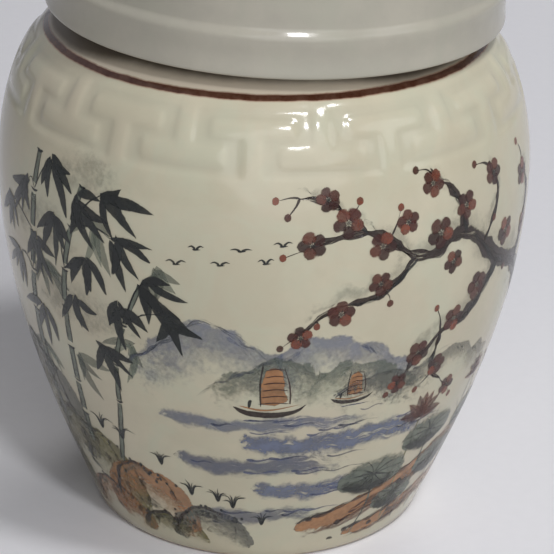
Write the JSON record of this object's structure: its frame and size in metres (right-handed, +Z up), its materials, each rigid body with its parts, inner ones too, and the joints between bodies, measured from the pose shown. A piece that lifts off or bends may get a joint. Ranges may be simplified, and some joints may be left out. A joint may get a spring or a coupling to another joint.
{
  "type": "lidded ceramic jar",
  "caption": "Glazed ceramic storage jar that swells from a narrow foot, with a sunk key fret round its shoulder and a domed lid with a knob that lifts off its neck.",
  "frame": {"origin": "middle of the foot, on the surface that the jar stands on", "axes": "+Z up along the pot's axis, -Y towards the front"},
  "size_m": [0.14, 0.14, 0.1903],
  "materials": {
    "cream_glaze": "glossy cream glaze with a green cast, painted on the belly and lined in brown on the shoulder",
    "grey_glaze": "glossy grey-cream glaze"
  },
  "bodies": {
    "jar": {"jar": "cream_glaze"},
    "lid": {"lid": "grey_glaze"}
  },
  "joints": [
    {"name": "lid_lift", "type": "slide", "parent": "jar", "child": "lid", "axis": [0, 0, 1], "range_m": [0, 0.15]}
  ]
}
